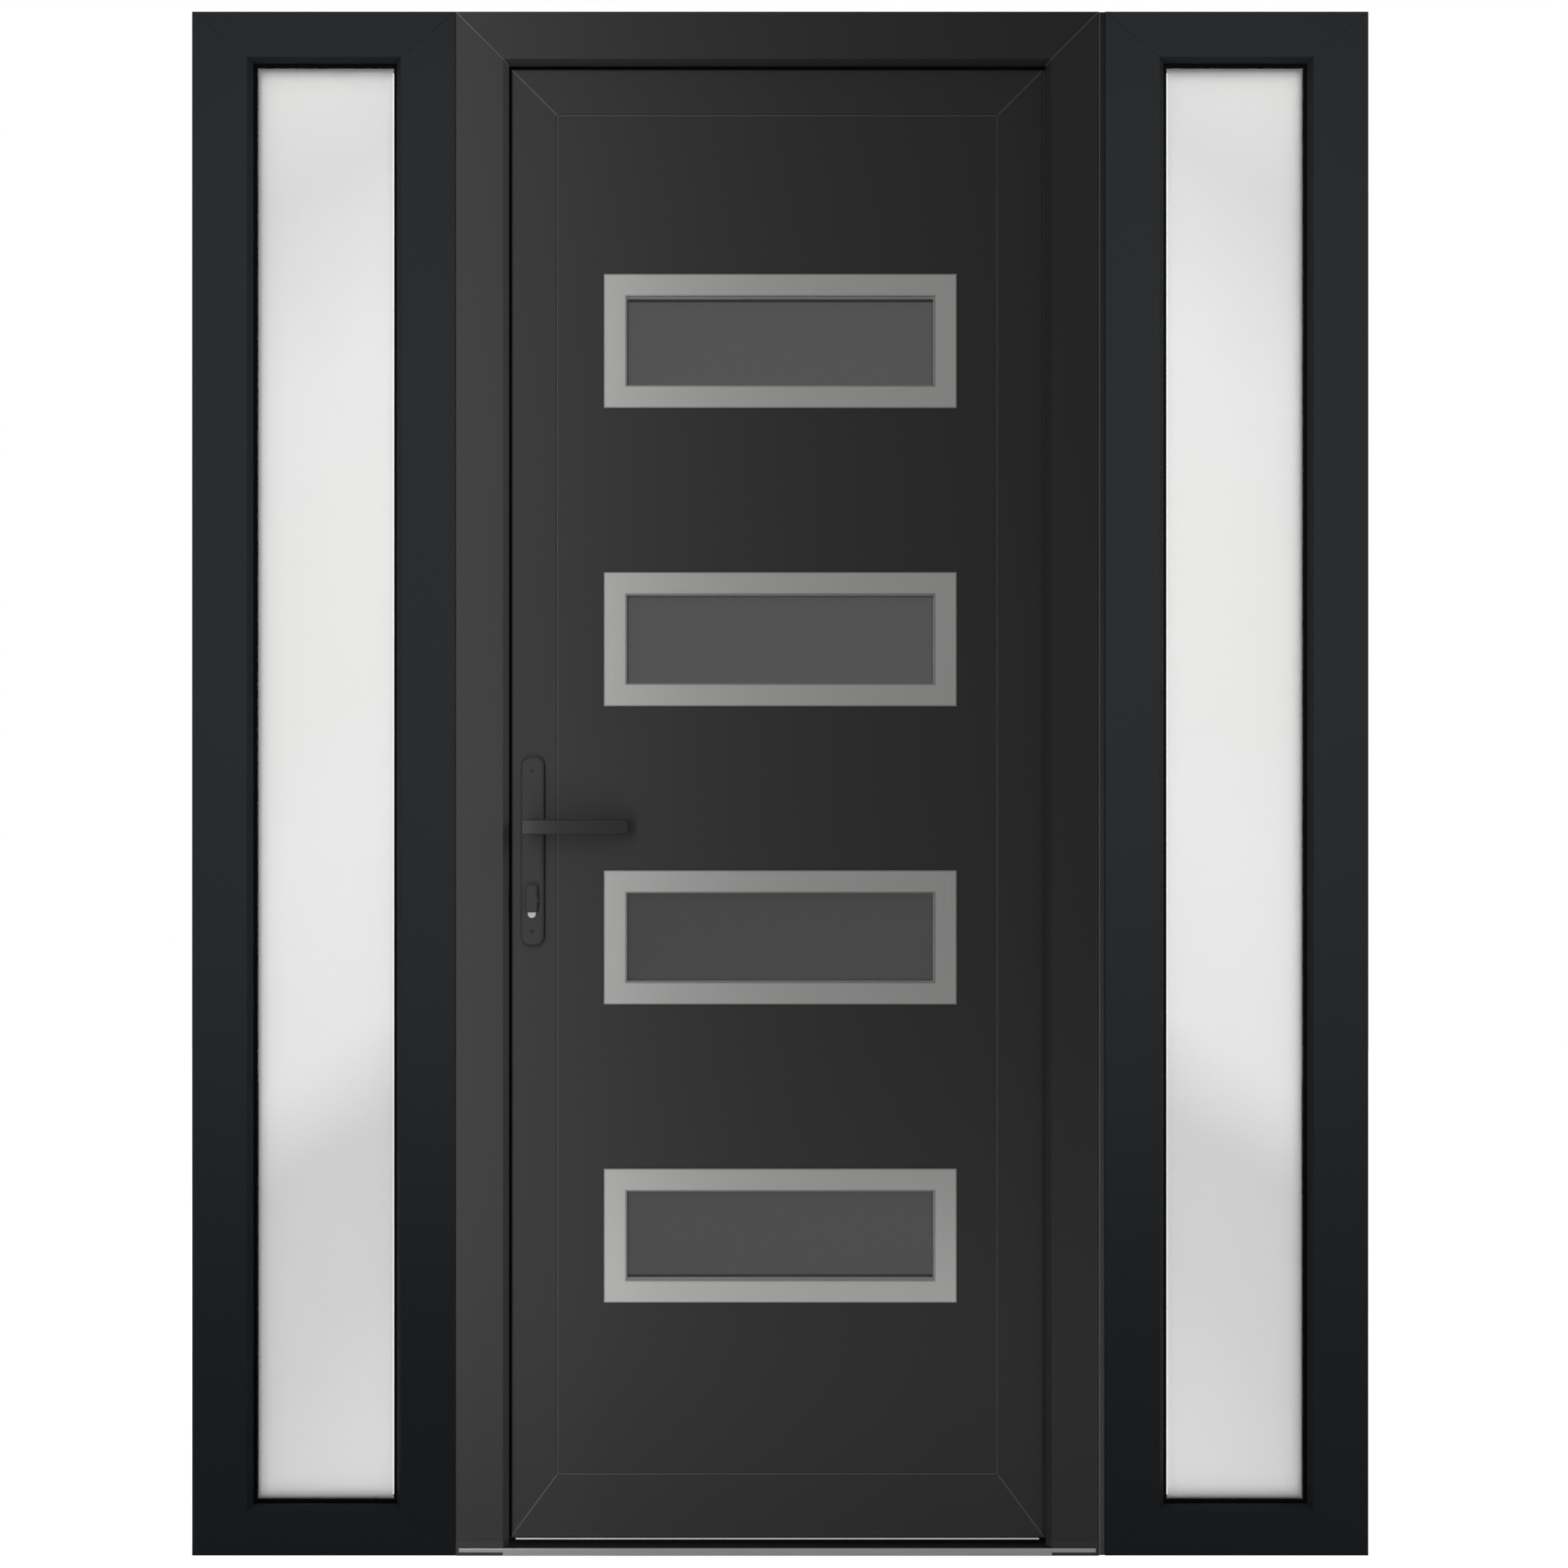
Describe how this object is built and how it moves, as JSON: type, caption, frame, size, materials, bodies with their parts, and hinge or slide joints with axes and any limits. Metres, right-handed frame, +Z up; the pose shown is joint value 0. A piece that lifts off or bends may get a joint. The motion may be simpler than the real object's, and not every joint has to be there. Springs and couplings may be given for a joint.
{
  "type": "exterior door with two sidelights",
  "caption": "Inward-opening exterior door with slot windows and a lever handle, in a frame between tall fixed frosted sidelights.",
  "frame": {"origin": "middle of the underside of the threshold, at mid-width of the whole unit and mid-depth of the fixed frames", "axes": "+X to the right seen from outdoors, +Y towards indoors, +Z up"},
  "size_m": [1.638, 0.184, 2.15],
  "materials": {
    "graphite_profile": "smooth graphite grey foil on plastic profile",
    "graphite_panel": "smooth graphite grey skin on an insulated panel",
    "anthracite_profile": "smooth anthracite foil on plastic profile",
    "window_trim": "satin stainless steel",
    "threshold_aluminium": "satin anodised aluminium",
    "dark_glass": "dark textured double glazing",
    "frosted_glass": "white frosted double glazing",
    "seal_rubber": "black extruded seal",
    "dark_fitting": "graphite powder coat on cast metal",
    "lock_steel": "zinc plated steel",
    "nickel_cylinder": "satin nickel plated brass",
    "spacer_bar": "mill finish aluminium spacer"
  },
  "bodies": {
    "frame": {"frame_head": "graphite_profile", "frame_jamb_left": "graphite_profile", "frame_jamb_right": "graphite_profile", "frame_feet": "graphite_profile", "frame_gasket": "seal_rubber", "frame_packer": "graphite_profile", "threshold_nose": "threshold_aluminium", "threshold_base": "seal_rubber", "strike_plate": "lock_steel", "frame_hinges": "dark_fitting", "sidelight_spacers": "spacer_bar", "sidelight_gaskets": "seal_rubber", "sidelight_beads": "anthracite_profile", "sidelight_left_outer_stile": "anthracite_profile", "sidelight_left_inner_stile": "anthracite_profile", "sidelight_left_head": "anthracite_profile", "sidelight_left_sill": "anthracite_profile", "sidelight_left_glass": "frosted_glass", "sidelight_right_outer_stile": "anthracite_profile", "sidelight_right_inner_stile": "anthracite_profile", "sidelight_right_head": "anthracite_profile", "sidelight_right_sill": "anthracite_profile", "sidelight_right_glass": "frosted_glass"},
    "leaf": {"leaf_stile_lock": "graphite_profile", "leaf_stile_hinge": "graphite_profile", "leaf_rail_top": "graphite_profile", "leaf_rail_bottom": "graphite_profile", "leaf_panel": "graphite_panel", "leaf_gasket": "seal_rubber", "leaf_bottom_seal": "seal_rubber", "leaf_drip_bar": "threshold_aluminium", "leaf_hinges": "dark_fitting", "window_trims_outer": "window_trim", "window_trims_inner": "window_trim", "window_glass": "dark_glass", "window_spacers": "spacer_bar", "lock_faceplate": "lock_steel", "latch_and_bolt": "lock_steel", "lock_cylinder": "nickel_cylinder", "handle_plate_outer": "dark_fitting", "handle_plate_inner": "dark_fitting", "keyhole_cover": "dark_fitting"},
    "handle": {"lever_outer": "dark_fitting", "lever_inner": "dark_fitting", "lever_spindle": "lock_steel"}
  },
  "joints": [
    {"name": "leaf_swing", "type": "hinge", "parent": "frame", "child": "leaf", "pos_m": [0.412, 0.061, 1.03], "axis": [0, 0, -1], "range_deg": [0, 100]},
    {"name": "lever_turn", "type": "hinge", "parent": "leaf", "child": "handle", "pos_m": [-0.3468, 0.02, 1.015], "axis": [0, 1, 0], "range_deg": [0, 40], "stiffness_Nm_per_rad": 1.5, "springref_deg": -34.38}
  ]
}
